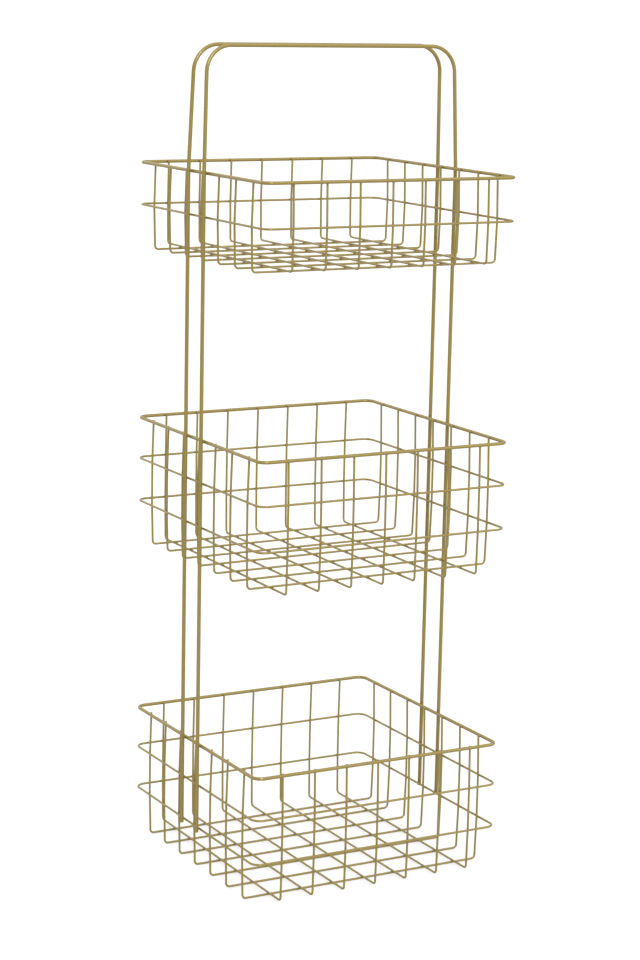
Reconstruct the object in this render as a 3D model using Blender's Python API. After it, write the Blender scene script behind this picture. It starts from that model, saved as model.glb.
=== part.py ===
"""A three-tier storage caddy, welded from round steel wire.

Three square wire baskets, one shallow above two deep ones, sit between two tall
inverted-U rods. The rods run down outside the left and right walls, and their
tops are the double bar that the caddy is carried by. X runs along the handle,
Y from front to back, Z up. The origin is the middle of the footprint, on the
surface that the bottom basket stands on. Wires are many-sided rods whose flats
lie at the true wire diameter, so each weld is a narrow gap between two flats.
"""

import math
from collections import namedtuple

import bpy
from mathutils import Vector

MM = 0.001

# Wire stock
RIM_WIRE = 3.8 * MM
RING_WIRE = 2.5 * MM
MESH_WIRE = 2.4 * MM
FRAME_ROD = 4.3 * MM
WELD_GAP = 0.3 * MM

# Baskets
BASKET_SPAN = 305.0 * MM
RIM_CORNER_RADIUS = 10.5 * MM
DEEP_BASKET_HEIGHT = 148.5 * MM
SHALLOW_BASKET_HEIGHT = 98.0 * MM
UPPER_RING_DROP = 47.0 * MM
LOWER_RING_DROP = 96.5 * MM
WIRE_PITCH = 39.5 * MM
WIRES_EACH_WAY = 7
FLOOR_BEND_RADIUS = 4.2 * MM
WIRE_END_DROP = 0.6 * MM

# Tiers, from rim to rim
LOWER_TIER_RISE = 344.0 * MM
UPPER_TIER_RISE = 290.0 * MM

# Frame rods and handle
LEG_SPACING = 38.0 * MM
LEG_END_DROP = 3.5 * MM
SHOULDER_BEND_RADIUS = 120.0 * MM
HANDLE_RISE = 134.5 * MM
HANDLE_SPACING = 30.0 * MM
HANDLE_DRAW_IN = 4.0 * MM
HANDLE_BEND_RADIUS = 29.0 * MM

# How finely the rods and their bends are cut
WIRE_SIDES = 8
ROD_SIDES = 12
WIRE_BEND_STEPS = 3
CORNER_STEPS = 4
SHOULDER_STEPS = 2
HANDLE_BEND_STEPS = 6

# Painted gold finish, as linear colour
GOLD_PAINT_COLOUR = (0.42, 0.33, 0.15, 1.0)
GOLD_PAINT_METALLIC = 0.85
GOLD_PAINT_ROUGHNESS = 0.38

# Places worked out from the sizes above
RIM_HALF = BASKET_SPAN / 2
RIM_OUTSIDE = RIM_HALF + RIM_WIRE / 2
RING_HALF = RIM_OUTSIDE - RING_WIRE / 2
WALL_AT_RIM = RIM_HALF - RIM_WIRE / 2 - WELD_GAP - MESH_WIRE / 2
WALL_AT_RING = RING_HALF - RING_WIRE / 2 - WELD_GAP - MESH_WIRE / 2
LEG_OUT = RIM_OUTSIDE + WELD_GAP + FRAME_ROD / 2
BOTTOM_RIM_UP = DEEP_BASKET_HEIGHT - RIM_WIRE / 2
MIDDLE_RIM_UP = BOTTOM_RIM_UP + LOWER_TIER_RISE
TOP_RIM_UP = MIDDLE_RIM_UP + UPPER_TIER_RISE

Basket = namedtuple("Basket", "name rim_up height ring_drops cross_wires_below")
Stop = namedtuple("Stop", "point bend_radius bend_steps")

BASKETS = (
    Basket("bottom", BOTTOM_RIM_UP, DEEP_BASKET_HEIGHT, (UPPER_RING_DROP, LOWER_RING_DROP), True),
    Basket("middle", MIDDLE_RIM_UP, DEEP_BASKET_HEIGHT, (UPPER_RING_DROP, LOWER_RING_DROP), False),
    Basket("top", TOP_RIM_UP, SHALLOW_BASKET_HEIGHT, (UPPER_RING_DROP,), True),
)


def clear_scene():
    """Remove whatever the file starts with."""
    for thing in list(bpy.data.objects):
        bpy.data.objects.remove(thing)


def gold_paint(name):
    """A satin metallic gold coat, one for each kind of wire."""
    material = bpy.data.materials.new(name)
    material.use_nodes = True
    shader = material.node_tree.nodes["Principled BSDF"]
    shader.inputs["Base Color"].default_value = GOLD_PAINT_COLOUR
    shader.inputs["Metallic"].default_value = GOLD_PAINT_METALLIC
    shader.inputs["Roughness"].default_value = GOLD_PAINT_ROUGHNESS
    material.diffuse_color = GOLD_PAINT_COLOUR
    return material


def plain_stop(x, y, z):
    """A point that the wire passes with no rounding."""
    return Stop(Vector((x, y, z)), 0, 0)


def bend_points(before, stop, after):
    """Points round one bend: the arc that touches both straight runs at the stop's radius."""
    incoming = (stop.point - before).normalized()
    outgoing = (after - stop.point).normalized()
    turn = incoming.angle(outgoing)
    start = stop.point - incoming * stop.bend_radius * math.tan(turn / 2)
    inward = (outgoing - incoming * math.cos(turn)).normalized()
    centre = start + inward * stop.bend_radius
    angles = [turn * step / stop.bend_steps for step in range(stop.bend_steps + 1)]
    return [
        centre + stop.bend_radius * (incoming * math.sin(angle) - inward * math.cos(angle))
        for angle in angles
    ]


def wire_path(stops):
    """Centreline points through the stops, with a bend wherever a stop has a radius."""
    points = []
    for index, stop in enumerate(stops):
        if stop.bend_steps:
            before = stops[index - 1].point
            after = stops[(index + 1) % len(stops)].point
            points += bend_points(before, stop, after)
        else:
            points.append(stop.point)
    return points


def wire_curve(name, stops, diameter, sides, material, closed=False):
    """A round wire along the stops: a polygon of so many sides whose flats measure the diameter."""
    points = wire_path(stops)
    curve = bpy.data.curves.new(name, "CURVE")
    curve.dimensions = "3D"
    curve.bevel_depth = diameter / 2 / math.cos(math.pi / sides)
    curve.bevel_resolution = sides // 2 - 2
    curve.use_fill_caps = not closed
    spline = curve.splines.new("POLY")
    spline.points.add(len(points) - 1)
    for spline_point, point in zip(spline.points, points):
        spline_point.co = (*point, 1)
        spline_point.tilt = math.pi / sides
    spline.use_cyclic_u = closed
    spline.use_smooth = True
    curve.materials.append(material)
    return curve


def place(name, data, parent=None, location=(0, 0, 0), turn=0):
    """Put an object with this shape into the scene, turned about the upright axis."""
    thing = bpy.data.objects.new(name, data)
    bpy.context.collection.objects.link(thing)
    thing.parent = parent
    thing.location = location
    thing.rotation_euler.z = turn
    return thing


def square_stops(half):
    """The four rounded corners of a rim or a ring, whose corners follow the rim's."""
    radius = RIM_CORNER_RADIUS + half - RIM_HALF
    corners = ((half, half), (-half, half), (-half, -half), (half, -half))
    return [Stop(Vector((x, y, 0)), radius, CORNER_STEPS) for x, y in corners]


def u_wire_stops(basket, lies_below):
    """One mesh wire: down a wall, over the basket's floor and up the opposite wall.

    Its cut ends stop just below the top of the rim. Between rim and floor it bows
    out a little, to the rings that it is welded to. Heights count from the rim.
    """
    floor_down = basket.height - (RIM_WIRE + MESH_WIRE) / 2
    if not lies_below:
        floor_down -= MESH_WIRE + WELD_GAP
    end = plain_stop(-WALL_AT_RIM, 0, RIM_WIRE / 2 - WIRE_END_DROP)
    at_rings = [plain_stop(-WALL_AT_RING, 0, -drop) for drop in basket.ring_drops]
    floor_corner = Stop(Vector((-WALL_AT_RIM, 0, -floor_down)), FLOOR_BEND_RADIUS, WIRE_BEND_STEPS)
    down = [end, *at_rings, floor_corner]
    mirror = Vector((-1, 1, 1))
    up = [stop._replace(point=stop.point * mirror) for stop in reversed(down)]
    return down + up


def build_mesh(basket, hanger, material):
    """The seven wires that run left to right and the seven that run front to back."""
    middle = (WIRES_EACH_WAY - 1) / 2
    for way, quarter_turn, lies_below in (
        ("cross", 0, basket.cross_wires_below),
        ("depth", math.pi / 2, not basket.cross_wires_below),
    ):
        name = f"{basket.name}_{way}_wire"
        curve = wire_curve(name, u_wire_stops(basket, lies_below), MESH_WIRE, WIRE_SIDES, material)
        for index in range(WIRES_EACH_WAY):
            aside = (index - middle) * WIRE_PITCH
            location = (0, aside, 0) if way == "cross" else (aside, 0, 0)
            place(f"{name}_{index + 1}", curve, hanger, location, quarter_turn)


def build_basket(basket, rim_paint, ring_paint, mesh_paint):
    """A rim, the rings below it and the mesh, all held at the rim's height."""
    hanger = place(f"{basket.name}_basket", None, location=(0, 0, basket.rim_up))
    rim_name = f"{basket.name}_rim"
    rim = wire_curve(rim_name, square_stops(RIM_HALF), RIM_WIRE, WIRE_SIDES, rim_paint, closed=True)
    place(rim_name, rim, hanger)
    for drop, level in zip(basket.ring_drops, ("upper", "lower")):
        ring_name = f"{basket.name}_{level}_ring"
        stops = square_stops(RING_HALF)
        ring = wire_curve(ring_name, stops, RING_WIRE, WIRE_SIDES, ring_paint, closed=True)
        place(ring_name, ring, hanger, location=(0, 0, -drop))
    build_mesh(basket, hanger, mesh_paint)


def frame_stops(side):
    """One inverted-U rod, on the back (1) or the front (-1) of the pair.

    Its legs stand outside the baskets up to the top rim, then lean in towards
    the handle, where the two rods also come closer together.
    """
    leg_y = side * LEG_SPACING / 2
    bar_y = side * HANDLE_SPACING / 2
    leg_end = plain_stop(-LEG_OUT, leg_y, BOTTOM_RIM_UP - LOWER_RING_DROP - LEG_END_DROP)
    shoulder_at = Vector((-LEG_OUT, leg_y, TOP_RIM_UP + RIM_WIRE / 2))
    shoulder = Stop(shoulder_at, SHOULDER_BEND_RADIUS, SHOULDER_STEPS)
    bar_at = Vector((HANDLE_DRAW_IN - LEG_OUT, bar_y, TOP_RIM_UP + HANDLE_RISE))
    bar_corner = Stop(bar_at, HANDLE_BEND_RADIUS, HANDLE_BEND_STEPS)
    left = [leg_end, shoulder, bar_corner]
    mirror = Vector((-1, 1, 1))
    right = [stop._replace(point=stop.point * mirror) for stop in reversed(left)]
    return left + right


def build_frame(material):
    """The two rods that carry the baskets and make the handle."""
    for name, side in (("rear_frame", 1), ("front_frame", -1)):
        place(name, wire_curve(name, frame_stops(side), FRAME_ROD, ROD_SIDES, material))


def main():
    clear_scene()
    rim_paint = gold_paint("rim_gold_paint")
    ring_paint = gold_paint("ring_gold_paint")
    mesh_paint = gold_paint("mesh_gold_paint")
    frame_paint = gold_paint("frame_gold_paint")
    for basket in BASKETS:
        build_basket(basket, rim_paint, ring_paint, mesh_paint)
    build_frame(frame_paint)


main()
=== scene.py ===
# %% [markdown]
# # A three-tier wire caddy, dressed for the camera
#
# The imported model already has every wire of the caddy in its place, as plain many-sided rods. This
# lesson gives them their looks: truly round wire with true bends, the small beads of metal at the
# welds, and a satin gold coat. Nothing here moves or resizes the model: each new wire lies exactly
# where its plain rod lies, and takes its sizes from it.

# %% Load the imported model
import math

import bmesh
import bpy
import numpy as np
from mathutils import Matrix, Vector


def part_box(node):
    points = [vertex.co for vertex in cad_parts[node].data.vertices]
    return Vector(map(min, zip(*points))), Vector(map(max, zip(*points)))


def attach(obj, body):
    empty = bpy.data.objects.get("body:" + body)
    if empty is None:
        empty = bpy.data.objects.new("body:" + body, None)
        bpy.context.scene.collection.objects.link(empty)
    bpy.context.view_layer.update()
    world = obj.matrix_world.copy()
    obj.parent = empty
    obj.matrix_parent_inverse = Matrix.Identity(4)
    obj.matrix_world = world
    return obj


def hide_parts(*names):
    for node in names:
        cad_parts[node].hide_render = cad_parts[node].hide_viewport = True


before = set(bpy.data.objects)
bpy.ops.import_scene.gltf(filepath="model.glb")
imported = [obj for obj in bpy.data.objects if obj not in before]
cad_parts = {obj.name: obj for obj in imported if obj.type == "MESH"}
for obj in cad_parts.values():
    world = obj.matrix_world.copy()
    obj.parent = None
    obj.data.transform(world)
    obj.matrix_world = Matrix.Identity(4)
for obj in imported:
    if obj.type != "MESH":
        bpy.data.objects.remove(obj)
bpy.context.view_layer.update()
TIERS = ("bottom", "middle", "top")
WAYS = ("cross", "depth")
print("rods in the packed model:", len(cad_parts))

# %% [markdown]
# ## Measuring the model
#
# A box round each plain rod tells its size and place. The rods were cut with flats facing the axes,
# so a box measures the true thickness of the wire. The bend radii, how far the legs lean in and the
# hairline gap left at each weld can't be read from a box, and these are written down as real sizes.

# %% Sizes that a box can't tell
MM = 0.001
WELD_GAP = 0.3 * MM
RIM_CORNER_RADIUS = 10.5 * MM
FLOOR_BEND_RADIUS = 4.2 * MM
WALL_BOW_RADIUS = 150.0 * MM
SHOULDER_BEND_RADIUS = 120.0 * MM
HANDLE_BEND_RADIUS = 29.0 * MM
HANDLE_DRAW_IN = 4.0 * MM

# %% Sizes read from the model
rim_low, rim_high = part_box("top_rim")
ring_low, ring_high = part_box("top_upper_ring")
cross_low, cross_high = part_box("top_cross_wire_4")
rod_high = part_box("front_frame")[1]
RIM_RADIUS = (rim_high.z - rim_low.z) / 2
RING_RADIUS = (ring_high.z - ring_low.z) / 2
MESH_RADIUS = (cross_high.y - cross_low.y) / 2
ROD_RADIUS = (rod_high.x - rim_high.x - WELD_GAP) / 2
RIM_HALF = rim_high.x - RIM_RADIUS
RING_HALF = ring_high.x - RING_RADIUS
WALL_AT_RIM = RIM_HALF - RIM_RADIUS - WELD_GAP - MESH_RADIUS
WALL_AT_RING = RING_HALF - RING_RADIUS - WELD_GAP - MESH_RADIUS
LEG_OUT = rod_high.x - ROD_RADIUS
sizes = {"rim": RIM_RADIUS, "ring": RING_RADIUS, "mesh": MESH_RADIUS, "rod": ROD_RADIUS}
print("wire thickness in mm:", {name: round(2 * radius / MM, 2) for name, radius in sizes.items()})

# %% Where each tier's rim, rings and wires are
def middle_of(node):
    """The middle of a node's box."""
    low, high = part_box(node)
    return (low + high) / 2


def ring_nodes(tier):
    """The rings of one basket, from the top down: the shallow one has only the upper ring."""
    names = (f"{tier}_upper_ring", f"{tier}_lower_ring")
    return [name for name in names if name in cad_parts]


def mesh_nodes(tier, way):
    """One basket's mesh wires of one way, with how far each stands from the middle."""
    side = 1 if way == "cross" else 0
    names = [name for name in sorted(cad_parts) if name.startswith(f"{tier}_{way}_wire_")]
    return [(name, middle_of(name)[side]) for name in names]


for tier in TIERS:
    rim_height = middle_of(f"{tier}_rim").z
    pitch = mesh_nodes(tier, "cross")[1][1] - mesh_nodes(tier, "cross")[0][1]
    print(f"{tier}: rim at {rim_height:.4f} m, {len(ring_nodes(tier))} rings, wires {pitch:.4f} m apart")

# %% [markdown]
# ## A wire's centreline
#
# Real wire is bent on a former: straight runs, and between them true arcs that touch both runs. So a
# centreline is a list of corner points, each with the radius of its bend. The points come out a few
# millimetres apart, close enough for the coat to roughen near a weld and turn smooth again.

# %% Centrelines from corners and bend radii
RUN_STEP = 4.0 * MM
ARC_STEP = math.radians(7.5)
FEWEST_ARC_POINTS = 3


def arc_points(before, corner, after, radius):
    """Centre plus radius times (sine of the turn along the run in, minus its cosine inwards)."""
    run_in = (corner - before) / np.linalg.norm(corner - before)
    run_out = (after - corner) / np.linalg.norm(after - corner)
    turn = math.acos(np.clip(run_in @ run_out, -1, 1))
    inwards = run_out - run_in * math.cos(turn)
    inwards = inwards / np.linalg.norm(inwards)
    start = corner - run_in * radius * math.tan(turn / 2)
    count = max(FEWEST_ARC_POINTS, math.ceil(turn / ARC_STEP) + 1)
    angle = np.linspace(0, turn, count)[:, None]
    return start + inwards * radius + radius * (run_in * np.sin(angle) - inwards * np.cos(angle))


def centreline(corners, radii, closed=False):
    """Arcs at the corners that have a radius, and evenly spaced points along the runs between them."""
    corners = [np.array(corner, float) for corner in corners]
    count = len(corners)
    bends = []
    for index, (corner, radius) in enumerate(zip(corners, radii)):
        before, after = corners[index - 1], corners[(index + 1) % count]
        bends.append(arc_points(before, corner, after, radius) if radius else corner[None])
    line = []
    for index, bend in enumerate(bends):
        line.append(bend)
        if index + 1 < count or closed:
            start, end = bend[-1], bends[(index + 1) % count][0]
            steps = max(1, round(np.linalg.norm(end - start) / RUN_STEP))
            line.append(start + (end - start) * np.arange(1, steps)[:, None] / steps)
    return np.concatenate(line)


# %% [markdown]
# ## Sweeping a round section along it
#
# A tube is a surface of two parameters: how far along the wire, and the angle round it. At each point
# of the centreline two directions square to the wire are needed. Every wire of this caddy keeps close
# to one plane, so one direction can be that plane's own axis, and the tube never twists. The cut ends
# are flat with a rounded edge, as a dipped or sprayed coat leaves them.

# %% Tube surfaces
EDGE_ROUNDING = 0.35 * MM
EDGE_STEPS = 4


def rounded_ends(line, radius):
    """Stations along the wire with their radii: at each end the radius falls to zero round a small arc."""
    angle = np.linspace(0, math.pi / 2, EDGE_STEPS + 1)[1:]
    shrink = np.concatenate([radius - EDGE_ROUNDING * (1 - np.cos(angle)), [0]])
    past = np.concatenate([EDGE_ROUNDING * np.sin(angle), [EDGE_ROUNDING]]) - EDGE_ROUNDING
    first = (line[0] - line[1]) / np.linalg.norm(line[0] - line[1])
    last = (line[-1] - line[-2]) / np.linalg.norm(line[-1] - line[-2])
    body = line.copy()
    body[0] -= first * EDGE_ROUNDING
    body[-1] -= last * EDGE_ROUNDING
    start = (line[0] + first * past[:, None])[::-1]
    end = line[-1] + last * past[:, None]
    stations = np.concatenate([start, body, end])
    radii = np.concatenate([shrink[::-1], np.full(len(body), radius), shrink])
    return stations, radii


def tube_grid(stations, radii, plane_axis, sides, closed):
    """Station plus radius times (cosine of the angle along one square direction, sine along the other)."""
    along = np.roll(stations, -1, 0) - np.roll(stations, 1, 0)
    if not closed:
        # An open wire has no neighbour past its ends, and it is straight there.
        along[:2] = stations[2] - stations[1]
        along[-2:] = stations[-2] - stations[-3]
    along = along / np.linalg.norm(along, axis=1, keepdims=True)
    axis = np.array(plane_axis, float)
    first = axis - (along @ axis)[:, None] * along
    first = first / np.linalg.norm(first, axis=1, keepdims=True)
    second = np.cross(along, first)
    angle = np.linspace(0, 2 * math.pi, sides, endpoint=False)
    ring = np.cos(angle)[:, None] * first[:, None, :] + np.sin(angle)[:, None] * second[:, None, :]
    return stations[:, None, :] + radii[:, None, None] * ring


def grid_faces(rows, columns, wraps):
    """Four-sided faces between neighbouring rows and columns: columns always close into a ring."""
    row = np.arange(rows if wraps else rows - 1)[:, None]
    column = np.arange(columns)[None, :]
    next_row = (row + 1) % rows
    next_column = (column + 1) % columns
    corners = [row * columns + column, row * columns + next_column]
    corners += [next_row * columns + next_column, next_row * columns + column]
    return np.stack(np.broadcast_arrays(*corners), axis=-1).reshape(-1, 4)


# %% [markdown]
# ## From a grid to a piece
#
# The whole arrays go into a mesh in one call each. A map of the surface (how far round, how far
# along) goes with it, so the drawn lines of the wire can follow every bend, and so does a number at
# each point that says how near the next weld is. The coat is painted darker there, as painted shade
# of the joint, and its skin is rougher.

# %% Meshes, maps and painted weld shade
WELD_REACH = 2.6 * MM
WELDS_AT_ONCE = 60
POLE_DISTANCE = 0.001 * MM


def nearness(points, welds):
    """One at a weld, falling as a bell curve with the distance to the nearest one."""
    gap = np.full(len(points), np.inf)
    for some in np.array_split(welds, max(1, len(welds) // WELDS_AT_ONCE)):
        apart = np.linalg.norm(points[:, None, :] - some[None], axis=2)
        gap = np.minimum(gap, apart.min(axis=1))
    return np.exp(-((gap / WELD_REACH) ** 2))


def mesh_object(name, points, faces, surface_map, shade):
    """An object at the origin with its place in its mesh, smooth, with its map and weld shade."""
    mesh = bpy.data.meshes.new(name)
    mesh.from_pydata(points.reshape(-1, 3), [], faces)
    layer = mesh.uv_layers.new(name="wire_map")
    layer.data.foreach_set("uv", surface_map.reshape(-1).astype(np.float32))
    attribute = mesh.attributes.new("weld_shade", "FLOAT", "POINT")
    attribute.data.foreach_set("value", shade.astype(np.float32))
    mesh.polygons.foreach_set("use_smooth", np.ones(len(mesh.polygons), bool))
    poles = bmesh.new()
    poles.from_mesh(mesh)
    bmesh.ops.remove_doubles(poles, verts=poles.verts, dist=POLE_DISTANCE)
    poles.to_mesh(mesh)
    poles.free()
    thing = bpy.data.objects.new(name, mesh)
    bpy.context.scene.collection.objects.link(thing)
    return thing


def wire_map(stations, radius, sides, closed):
    """For each face corner, in metres: angle times radius, and the way travelled along the wire."""
    travel = np.linalg.norm(np.diff(stations, axis=0, append=stations[:1]), axis=1)
    distance = np.concatenate([[0], np.cumsum(travel)])
    rows = len(stations)
    row = np.arange(rows if closed else rows - 1)[:, None]
    column = np.arange(sides)[None, :]
    shape = (len(row), sides)
    turns = [np.broadcast_to(value / sides, shape) for value in (column, column + 1, column + 1, column)]
    lengths = [np.broadcast_to(distance[value], shape) for value in (row, row, row + 1, row + 1)]
    round_by = np.stack(turns, axis=-1) * 2 * math.pi * radius
    return np.stack([round_by, np.stack(lengths, axis=-1)], axis=-1)


def round_wire(node, line, plane_axis, radius, sides, coat, welds, closed=False):
    """A round wire along the centreline that stands for one plain rod of the model."""
    if closed:
        stations, radii = line, np.full(len(line), radius)
    else:
        stations, radii = rounded_ends(line, radius)
    grid = tube_grid(stations, radii, plane_axis, sides, closed)
    faces = grid_faces(len(stations), sides, closed)
    surface_map = wire_map(stations, radius, sides, closed)
    shade = np.repeat(nearness(stations, welds), sides)
    thing = mesh_object(f"round_{node}", grid, faces, surface_map, shade)
    thing.data.materials.append(coat)
    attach(thing, "root")
    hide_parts(node)
    return thing


# %% [markdown]
# ## The gold coat
#
# The wire is steel, drawn through dies and then coated a satin gold. Up close there are four things to
# see: a slow drift of tone from one stretch to the next, faint lines along the wire left by the
# drawing die, a very fine orange-peel in the coat, and a rougher skin close round each weld. Round
# each weld the colour is also painted a touch darker, as painted shade where the wires meet. The
# colour layer is about half metal flake, and its far edges turn brown rather than white, which is
# what the shader's specular tint sets for a metal. The colour layer's own white reflection is almost
# off, because a clear lacquer lies over it and gives the level wires their pale sheen. The wire could
# have one plain colour, but then every stretch would look alike from close by.

# %% Gold coat material
COAT_PALE = (0.226, 0.170, 0.0435, 1.0)
COAT_DEEP = (0.197, 0.1475, 0.035, 1.0)
# Painted shade: the coat is painted a touch darker close round each weld, where the wires meet.
COAT_PAINTED_SHADE_AT_WELD = (0.207, 0.155, 0.0375, 1.0)
COAT_EDGE_TINT = (0.45, 0.34, 0.12, 1.0)
COAT_METALLIC = 0.45
COAT_WHITE_REFLECTION = 0.1
SATIN_ROUGHNESS = (0.34, 0.42)
WELD_ROUGHNESS = 0.52
LACQUER_WEIGHT = 0.60
LACQUER_ROUGHNESS = 0.14
WELD_BLEND = 0.75
PEEL_SIZE = 0.6 * MM
PEEL_BUMP = 0.35
DIE_LINE_WIDTH = 0.35 * MM
DIE_LINE_LENGTH = 30 * MM
DIE_LINE_BUMP = 0.25
BUMP_DEPTH = 0.02 * MM
RIM_DRIFT = 60 * MM
RING_DRIFT = 45 * MM
MESH_DRIFT = 35 * MM
FRAME_DRIFT = 80 * MM


def add_node(tree, kind, **inputs):
    """A shader node with some of its sockets set, by name."""
    node = tree.nodes.new(kind)
    for name, value in inputs.items():
        node.inputs[name.replace("_", " ")].default_value = value
    return node


def colour_mix(tree, factor, first, second):
    """Between two colours: each is a plain colour or another node's socket."""
    mix = tree.nodes.new("ShaderNodeMix")
    mix.data_type = "RGBA"
    tree.links.new(factor, mix.inputs["Factor"])
    colour_inputs = [socket for socket in mix.inputs if socket.type == "RGBA"]
    for socket, value in zip(colour_inputs, (first, second)):
        if isinstance(value, tuple):
            socket.default_value = value
        else:
            tree.links.new(value, socket)
    return next(socket for socket in mix.outputs if socket.type == "RGBA")


def ranged(tree, factor, low, high):
    """A number that goes from low to high as the factor goes from 0 to 1."""
    node = tree.nodes.new("ShaderNodeMapRange")
    tree.links.new(factor, node.inputs["Value"])
    node.inputs["To Min"].default_value = low
    node.inputs["To Max"].default_value = high
    return node.outputs["Result"]


def gold_coat(name, drift_size):
    """A satin gold coat; drift_size is how long a stretch of wire keeps one tone."""
    material = bpy.data.materials.new(name)
    material.use_nodes = True
    tree = material.node_tree
    shader = tree.nodes["Principled BSDF"]
    place = tree.nodes.new("ShaderNodeTexCoord").outputs["Object"]
    drift = add_node(tree, "ShaderNodeTexNoise", Scale=1 / drift_size, Detail=3.0, Roughness=0.55)
    tree.links.new(place, drift.inputs["Vector"])
    peel = add_node(tree, "ShaderNodeTexNoise", Scale=1 / PEEL_SIZE, Detail=2.0, Roughness=0.5)
    tree.links.new(place, peel.inputs["Vector"])
    surface = tree.nodes.new("ShaderNodeUVMap")
    surface.uv_map = "wire_map"
    stretch = add_node(tree, "ShaderNodeMapping", Scale=(1 / DIE_LINE_WIDTH, 1 / DIE_LINE_LENGTH, 1.0))
    tree.links.new(surface.outputs["UV"], stretch.inputs["Vector"])
    lines = add_node(tree, "ShaderNodeTexNoise", Scale=1.0, Detail=2.0, Roughness=0.6)
    tree.links.new(stretch.outputs["Vector"], lines.inputs["Vector"])
    weld = tree.nodes.new("ShaderNodeAttribute")
    weld.attribute_name = "weld_shade"
    near_weld = ranged(tree, weld.outputs["Fac"], 0.0, WELD_BLEND)
    tone = colour_mix(tree, drift.outputs["Fac"], COAT_DEEP, COAT_PALE)
    # Painted shade: towards each weld the colour turns to the darker weld colour.
    colour = colour_mix(tree, near_weld, tone, COAT_PAINTED_SHADE_AT_WELD)
    tree.links.new(colour, shader.inputs["Base Color"])
    satin = ranged(tree, lines.outputs["Fac"], *SATIN_ROUGHNESS)
    rough = tree.nodes.new("ShaderNodeMix")
    tree.links.new(near_weld, rough.inputs["Factor"])
    tree.links.new(satin, rough.inputs["A"])
    rough.inputs["B"].default_value = WELD_ROUGHNESS
    tree.links.new(rough.outputs["Result"], shader.inputs["Roughness"])
    skin = add_node(tree, "ShaderNodeBump", Strength=PEEL_BUMP, Distance=BUMP_DEPTH)
    tree.links.new(peel.outputs["Fac"], skin.inputs["Height"])
    drawn = add_node(tree, "ShaderNodeBump", Strength=DIE_LINE_BUMP, Distance=BUMP_DEPTH)
    tree.links.new(lines.outputs["Fac"], drawn.inputs["Height"])
    tree.links.new(skin.outputs["Normal"], drawn.inputs["Normal"])
    tree.links.new(drawn.outputs["Normal"], shader.inputs["Normal"])
    shader.inputs["Metallic"].default_value = COAT_METALLIC
    shader.inputs["Specular IOR Level"].default_value = COAT_WHITE_REFLECTION
    shader.inputs["Specular Tint"].default_value = COAT_EDGE_TINT
    shader.inputs["Coat Weight"].default_value = LACQUER_WEIGHT
    shader.inputs["Coat Roughness"].default_value = LACQUER_ROUGHNESS
    return material


rim_coat = gold_coat("rim_satin_gold", RIM_DRIFT)
ring_coat = gold_coat("ring_satin_gold", RING_DRIFT)
mesh_coat = gold_coat("mesh_satin_gold", MESH_DRIFT)
frame_coat = gold_coat("frame_satin_gold", FRAME_DRIFT)
print("coats:", [coat.name for coat in bpy.data.materials if coat.name.endswith("satin_gold")])

# %% [markdown]
# ## Where the welds are
#
# A basket is held together only by welds. Each mesh wire is welded to the wires that it crosses in
# the floor, to the rings from inside, and to the rim; each leg is welded to every rim and ring that it
# passes. All those places follow from the measured sizes, so they are worked out as whole arrays:
# first the spot, then the directions of the two wires that meet there.

# %% Weld spots
def floor_height(tier):
    """Halfway between the axes of the two layers of floor wires."""
    heights = [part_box(f"{tier}_{way}_wire_4")[0].z + MESH_RADIUS for way in WAYS]
    return sum(heights) / 2


def floor_spots(tier):
    """Every crossing of a cross wire and a depth wire in the basket's floor."""
    across = np.array([aside for _, aside in mesh_nodes(tier, "cross")])
    deep = np.array([aside for _, aside in mesh_nodes(tier, "depth")])
    x, y = np.meshgrid(deep, across)
    return np.stack([x, y, np.full_like(x, floor_height(tier))], axis=-1).reshape(-1, 3)


def wall_spots(tier, way, out, height):
    """The two ends of each wire of one way, at this distance from the middle and this height."""
    aside = np.array([aside for _, aside in mesh_nodes(tier, way)])
    flip = np.repeat([-1, 1], len(aside))
    aside = np.tile(aside, 2)
    level = np.full_like(aside, height)
    columns = (flip * out, aside, level) if way == "cross" else (aside, flip * out, level)
    return np.stack(columns, axis=-1), flip


RIM_SEAM = RIM_HALF - RIM_RADIUS - WELD_GAP / 2
RING_SEAM = RING_HALF - RING_RADIUS - WELD_GAP / 2
LEG_SEAM = LEG_OUT - ROD_RADIUS - WELD_GAP / 2


def leg_aside(node):
    """How far a leg stands from the middle, front to back: the far side of the rod's box."""
    low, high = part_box(node)
    return low.y + ROD_RADIUS if abs(low.y) > abs(high.y) else high.y - ROD_RADIUS


def leg_spots(hoop_names):
    """The places where the two rods' four legs pass these rims or rings."""
    levels = [middle_of(name).z for name in hoop_names]
    sides = [leg_aside("front_frame"), leg_aside("rear_frame")]
    level, flip, aside = np.meshgrid(levels, [-1, 1], sides)
    flip = flip.reshape(-1)
    return np.stack([flip * LEG_SEAM, aside.reshape(-1), level.reshape(-1)], axis=-1), flip


def all_wall_spots(tier):
    """Every weld between mesh wires and the rim or a ring of one basket."""
    places = [wall_spots(tier, way, RIM_SEAM, middle_of(f"{tier}_rim").z)[0] for way in WAYS]
    for ring in ring_nodes(tier):
        places += [wall_spots(tier, way, RING_SEAM, middle_of(ring).z)[0] for way in WAYS]
    return np.concatenate(places)


spots = {tier: np.concatenate([floor_spots(tier), all_wall_spots(tier)]) for tier in TIERS}
rim_names = [f"{tier}_rim" for tier in TIERS]
ring_names = [name for tier in TIERS for name in ring_nodes(tier)]
leg_weld_spots = leg_spots(rim_names + ring_names)[0]
every_spot = np.concatenate([*spots.values(), leg_weld_spots])
print("welds:", len(every_spot))

# %% [markdown]
# ## Rims and rings
#
# A rim is thick wire bent to a square with rounded corners and butt-welded shut; the rings round the
# mesh below it are the same in thinner wire, and share the centres of the rim's corner bends.

# %% Rims and rings
HOOP_SIDES = 28
HOOP_WELD_BAND = 5 * MM


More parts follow.
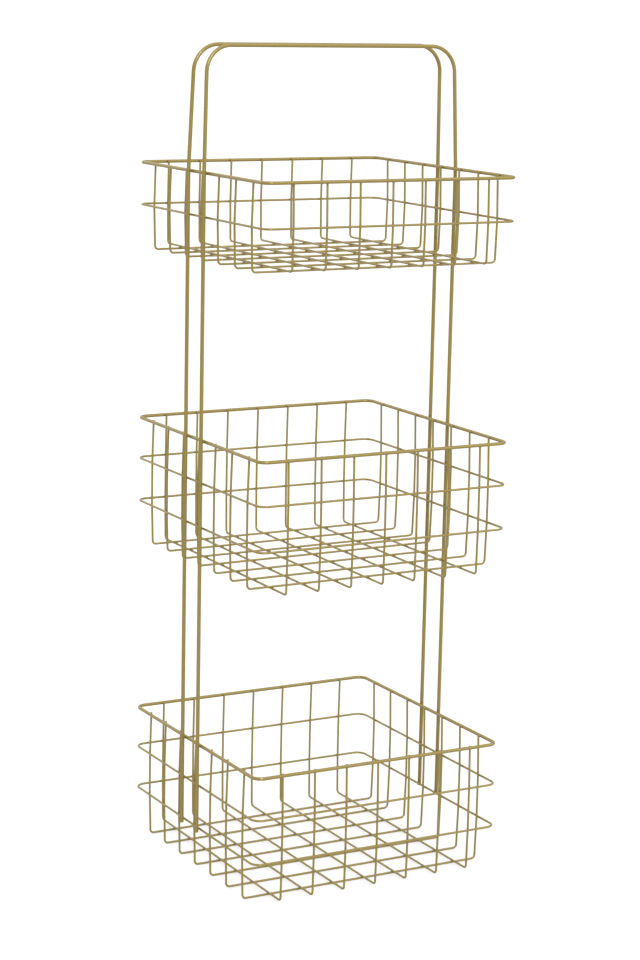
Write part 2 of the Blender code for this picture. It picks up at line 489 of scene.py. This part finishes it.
def hoop(node, half, radius, coat):
    """A closed square of round wire whose corner bends share the rim's corner centres."""
    height = middle_of(node).z
    bend = RIM_CORNER_RADIUS + half - RIM_HALF
    corners = [(x * half, y * half, height) for x, y in ((1, 1), (-1, 1), (-1, -1), (1, -1))]
    line = centreline(corners, [bend] * 4, closed=True)
    welds = every_spot[np.abs(every_spot[:, 2] - height) < HOOP_WELD_BAND]
    return round_wire(node, line, (0, 0, 1), radius, HOOP_SIDES, coat, welds, closed=True)


hoops = [hoop(name, RIM_HALF, RIM_RADIUS, rim_coat) for name in rim_names]
hoops += [hoop(name, RING_HALF, RING_RADIUS, ring_coat) for name in ring_names]
print("rims and rings:", len(hoops), "points in one:", len(hoops[0].data.vertices))

# %% [markdown]
# ## Mesh wires
#
# Each mesh wire is one U: down a wall, across the floor, up the other wall. The wall bows out by a
# millimetre or so where the rings pull it, which a straight U would lose, and its cut ends stop just
# below the top of the rim, where they can't scratch a hand.

# %% Mesh wires
MESH_SIDES = 20
WIRE_WELD_BAND = 3 * MM


def mesh_wire(tier, way, node, aside):
    """A U of round wire, in the plane of its own walls."""
    low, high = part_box(node)
    floor = low.z + MESH_RADIUS
    levels = [high.z, *[middle_of(ring).z for ring in ring_nodes(tier)], floor]
    outs = [WALL_AT_RIM] + [WALL_AT_RING] * len(ring_nodes(tier)) + [WALL_AT_RIM]
    bends = [0] + [WALL_BOW_RADIUS] * len(ring_nodes(tier)) + [FLOOR_BEND_RADIUS]
    flat = [(-out, level) for out, level in zip(outs, levels)]
    flat += [(out, level) for out, level in reversed(list(zip(outs, levels)))]
    bends = bends + bends[::-1]
    if way == "cross":
        corners = [(out, aside, level) for out, level in flat]
        plane_axis = (0, 1, 0)
    else:
        corners = [(aside, out, level) for out, level in flat]
        plane_axis = (1, 0, 0)
    line = centreline(corners, bends)
    side = 1 if way == "cross" else 0
    near = spots[tier][np.abs(spots[tier][:, side] - aside) < WIRE_WELD_BAND]
    return round_wire(node, line, plane_axis, MESH_RADIUS, MESH_SIDES, mesh_coat, near)


mesh_wires = [
    mesh_wire(tier, way, node, aside)
    for tier in TIERS for way in WAYS for node, aside in mesh_nodes(tier, way)
]
print("mesh wires:", len(mesh_wires), "points in one:", len(mesh_wires[0].data.vertices))

# %% [markdown]
# ## Frame rods
#
# Two thick rods carry the baskets. Each goes up outside the left wall, leans in a little above the
# top rim, crosses over as a bar of the handle, and comes down the right side.

# %% Frame rods
ROD_SIDES = 32


def frame_rod(node):
    """An inverted U whose legs lean in from the top rim to the handle."""
    low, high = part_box(node)
    leg = leg_aside(node)
    bar = high.y - ROD_RADIUS if leg < 0 else low.y + ROD_RADIUS
    shoulder = middle_of("top_rim").z + RIM_RADIUS
    bar_height = high.z - ROD_RADIUS
    bar_corner = (HANDLE_DRAW_IN - LEG_OUT, bar, bar_height)
    left = [(-LEG_OUT, leg, low.z), (-LEG_OUT, leg, shoulder), bar_corner]
    right = [(-x, y, z) for x, y, z in reversed(left)]
    bends = [0, SHOULDER_BEND_RADIUS, HANDLE_BEND_RADIUS]
    line = centreline(left + right, bends + bends[::-1])
    near = leg_weld_spots[np.abs(leg_weld_spots[:, 1] - leg) < WIRE_WELD_BAND]
    return round_wire(node, line, (0, 1, 0), ROD_RADIUS, ROD_SIDES, frame_coat, near)


frame_rods = [frame_rod(node) for node in ("front_frame", "rear_frame")]
print("frame rods:", [rod.name for rod in frame_rods])

# %% [markdown]
# ## Weld beads
#
# Where two wires were pressed together and spot-welded, a little metal is squeezed out and the coat
# flows over it, so the two round wires are joined by a small saddle. Its ends must follow two
# cylinders that lie square to each other. As a surface of two parameters, the angle round the seam and
# the height across it, it has a waist in the middle, flares towards both wires, and its rim is lifted
# to each cylinder's own surface.

# %% Weld bead surface
BEAD_ANGLES = 10
BEAD_HEIGHTS = 5
BEAD_FLARE = 0.86
BEAD_WAIST = 0.62
BEAD_SINK = 0.12 * MM
# How far the beads take the painted weld shade and the rough weld skin.
BEAD_WELD_SHADE = 0.85


def bead_shape(first_radius, second_radius):
    """Heights and distances of one bead, in metres, round its own axis.

    Distance from the axis is the waist plus the flare times the squared height; at each
    wire the height is that cylinder's surface at this angle, sunk a little into it.
    """
    angle = np.linspace(0, 2 * math.pi, BEAD_ANGLES, endpoint=False)[None, :]
    level = np.linspace(-1, 1, BEAD_HEIGHTS)[:, None]
    least = min(first_radius, second_radius)
    spread = least * (BEAD_WAIST + (BEAD_FLARE - BEAD_WAIST) * level**2)
    along_first = spread * np.cos(angle)
    along_second = spread * np.sin(angle)
    rise_first = first_radius - np.sqrt(first_radius**2 - along_second**2) + WELD_GAP / 2 + BEAD_SINK
    rise_second = second_radius - np.sqrt(second_radius**2 - along_first**2) + WELD_GAP / 2 + BEAD_SINK
    share = (level + 1) / 2
    rise = share * rise_first - (1 - share) * rise_second
    return along_first, along_second, rise


def weld_beads(name, places, towards_first, first_along, second_along, radii, coat):
    """All beads of one kind: the first wire lies on the side that each bead's axis points to."""
    along_first, along_second, rise = bead_shape(*radii)
    shape = (
        along_first[..., None] * np.array(first_along, float)
        + along_second[..., None] * np.array(second_along, float)
    )
    grid = places[:, None, None, :] + shape[None] + rise[None, ..., None] * towards_first[:, None, None, :]
    bottom = grid[:, :1].mean(axis=2, keepdims=True).repeat(BEAD_ANGLES, axis=2)
    top = grid[:, -1:].mean(axis=2, keepdims=True).repeat(BEAD_ANGLES, axis=2)
    grid = np.concatenate([bottom, grid, top], axis=1)
    rows = BEAD_HEIGHTS + 2
    one = grid_faces(rows, BEAD_ANGLES, False)
    turned = np.cross(first_along, second_along) @ towards_first.T < 0
    faces = one[None] + (np.arange(len(places)) * rows * BEAD_ANGLES)[:, None, None]
    faces[turned] = faces[turned][:, :, ::-1]
    faces = faces.reshape(-1, 4)
    points = grid.reshape(-1, 3)
    surface_map = np.zeros((len(faces), 4, 2))
    thing = mesh_object(name, points, faces, surface_map, np.full(len(points), BEAD_WELD_SHADE))
    thing.data.materials.append(coat)
    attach(thing, "root")
    return thing


# %% Beads in the floors, on the walls and on the legs
def outward(flip, way):
    """The direction from the basket's middle to each wall."""
    zero = np.zeros(len(flip))
    return np.stack([flip, zero, zero] if way == "cross" else [zero, flip, zero], axis=-1).astype(float)


beads = []
for tier in TIERS:
    floor = floor_spots(tier)
    cross_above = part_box(f"{tier}_cross_wire_4")[0].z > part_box(f"{tier}_depth_wire_4")[0].z
    up = np.tile([0.0, 0.0, 1.0 if cross_above else -1.0], (len(floor), 1))
    beads.append(weld_beads(f"{tier}_floor_welds", floor, up, (1, 0, 0), (0, 1, 0),
                            (MESH_RADIUS, MESH_RADIUS), mesh_coat))
    hoops_here = [(f"{tier}_rim", RIM_SEAM, RIM_RADIUS)]
    hoops_here += [(ring, RING_SEAM, RING_RADIUS) for ring in ring_nodes(tier)]
    for hoop_name, seam, hoop_radius in hoops_here:
        for way in WAYS:
            place, flip = wall_spots(tier, way, seam, middle_of(hoop_name).z)
            along_hoop = (0, 1, 0) if way == "cross" else (1, 0, 0)
            beads.append(weld_beads(f"{hoop_name}_{way}_welds", place, outward(flip, way), along_hoop,
                                    (0, 0, 1), (hoop_radius, MESH_RADIUS), mesh_coat))
for hoop_kind, names, hoop_radius in (("rim", rim_names, RIM_RADIUS), ("ring", ring_names, RING_RADIUS)):
    place, flip = leg_spots(names)
    beads.append(weld_beads(f"leg_{hoop_kind}_welds", place, outward(flip, "cross"), (0, 0, 1), (0, 1, 0),
                            (ROD_RADIUS, hoop_radius), frame_coat))
print("bead pieces:", len(beads), "faces in one bead:", (BEAD_HEIGHTS + 1) * BEAD_ANGLES)

# %% [markdown]
# ## Floor, light and camera
#
# The caddy stands on a plain white floor that runs to the horizon, so there is no edge behind it. The
# floor glows a little by itself, like a light table, which keeps it white and its shadows faint.
# The light is soft. A wide panel overhead gives every level wire its pale top. A narrower key panel, a
# little above the camera and to its right, draws the highlight along the left bends of the handle. A
# window at the front right makes the right flank of every upright lighter than the left, and shows in
# the wires that run left to right. A cream wall behind shows in the tops of the wires that run front
# to back. A white sky fills in the rest.

# %% Floor
FLOOR_REACH = 400.0
FLOOR_DROP = 0.4 * MM
FLOOR_COLOUR = (0.30, 0.30, 0.30, 1.0)
FLOOR_GLOW = 0.58
FLOOR_GLOW_COLOUR = (1.0, 1.0, 1.0, 1.0)
FLOOR_ROUGHNESS = 0.9
FLOOR_WHITE_REFLECTION = 0.1


def white_floor():
    """One large square just below the caddy."""
    mesh = bpy.data.meshes.new("studio_floor")
    corners = ((-1, -1), (1, -1), (1, 1), (-1, 1))
    points = [(x * FLOOR_REACH, y * FLOOR_REACH, -FLOOR_DROP) for x, y in corners]
    mesh.from_pydata(points, [], [(0, 1, 2, 3)])
    paint = bpy.data.materials.new("white_floor_paint")
    paint.use_nodes = True
    shader = paint.node_tree.nodes["Principled BSDF"]
    shader.inputs["Base Color"].default_value = FLOOR_COLOUR
    shader.inputs["Emission Color"].default_value = FLOOR_GLOW_COLOUR
    shader.inputs["Emission Strength"].default_value = FLOOR_GLOW
    shader.inputs["Roughness"].default_value = FLOOR_ROUGHNESS
    shader.inputs["Specular IOR Level"].default_value = FLOOR_WHITE_REFLECTION
    mesh.materials.append(paint)
    thing = bpy.data.objects.new("studio_floor", mesh)
    bpy.context.scene.collection.objects.link(thing)
    print("floor:", thing.name)


white_floor()

# %% Light
WHITE_LIGHT = (1.0, 1.0, 1.0)
CREAM_LIGHT = (1.0, 0.95, 0.74)
SKY_COLOUR = (1.0, 1.0, 1.0, 1.0)
SKY_STRENGTH = 1.02
CEILING_STRENGTH = 0.9
CEILING_WIDTH = math.radians(80)
CEILING_HEIGHT = math.radians(84)
CEILING_SIDE = 0.0
KEY_STRENGTH = 2.0
KEY_WIDTH = math.radians(20)
KEY_HEIGHT = math.radians(25)
KEY_SIDE = math.radians(-15)
WINDOW_STRENGTH = 0.8
WINDOW_WIDTH = math.radians(60)
WINDOW_HEIGHT = math.radians(26)
WINDOW_SIDE = math.radians(45)
BACK_STRENGTH = 0.75
BACK_WIDTH = math.radians(70)
BACK_HEIGHT = math.radians(32)
BACK_SIDE = math.radians(-160)
world = bpy.data.worlds.new("white_studio")
world.use_nodes = True
sky = world.node_tree.nodes["Background"]
sky.inputs["Color"].default_value = SKY_COLOUR
sky.inputs["Strength"].default_value = SKY_STRENGTH
bpy.context.scene.world = world


def wide_sun(name, strength, side, height, width, colour):
    """A sun so wide that it lights like a large soft window, from the given side and height."""
    light = bpy.data.lights.new(name, "SUN")
    light.energy = strength
    light.color = colour
    light.angle = width
    thing = bpy.data.objects.new(name, light)
    thing.rotation_euler = (math.pi / 2 - height, 0.0, side)
    bpy.context.scene.collection.objects.link(thing)
    print(name, "strength", strength, "width", round(math.degrees(width)), "degrees")


wide_sun("ceiling_panel", CEILING_STRENGTH, CEILING_SIDE, CEILING_HEIGHT, CEILING_WIDTH, WHITE_LIGHT)
wide_sun("key_panel", KEY_STRENGTH, KEY_SIDE, KEY_HEIGHT, KEY_WIDTH, WHITE_LIGHT)
wide_sun("window_right", WINDOW_STRENGTH, WINDOW_SIDE, WINDOW_HEIGHT, WINDOW_WIDTH, WHITE_LIGHT)
wide_sun("back_wall", BACK_STRENGTH, BACK_SIDE, BACK_HEIGHT, BACK_WIDTH, CREAM_LIGHT)

# %% Camera
CAMERA_AIM = Vector((2.2, 0.0, 432.7)) * MM
CAMERA_DISTANCE = 2819.4 * MM
CAMERA_AZIMUTH = math.radians(29.01)
CAMERA_HEIGHT_ANGLE = math.radians(11.30)
CAMERA_ROLL = math.radians(1.215)
FOCAL_LENGTH_PIXELS = 2504.7
PHOTO_HEIGHT_PIXELS = 960
SENSOR_MILLIMETRES = 36.0
FARTHEST_SEEN = 1000.0
camera_data = bpy.data.cameras.new("photo_camera")
camera_data.sensor_width = SENSOR_MILLIMETRES
camera_data.sensor_fit = "AUTO"
camera_data.lens = FOCAL_LENGTH_PIXELS * SENSOR_MILLIMETRES / PHOTO_HEIGHT_PIXELS
camera_data.clip_end = FARTHEST_SEEN
camera = bpy.data.objects.new("photo_camera", camera_data)
turn = (
    Matrix.Rotation(-CAMERA_AZIMUTH, 4, "Z")
    @ Matrix.Rotation(math.pi / 2 - CAMERA_HEIGHT_ANGLE, 4, "X")
    @ Matrix.Rotation(CAMERA_ROLL, 4, "Z")
)
backwards = turn.to_3x3() @ Vector((0, 0, 1))
camera.matrix_world = Matrix.Translation(CAMERA_AIM + backwards * CAMERA_DISTANCE) @ turn
bpy.context.scene.collection.objects.link(camera)
bpy.context.scene.camera = camera
bpy.context.scene.view_settings.view_transform = "Standard"
print("camera at", [round(value, 3) for value in camera.matrix_world.translation])
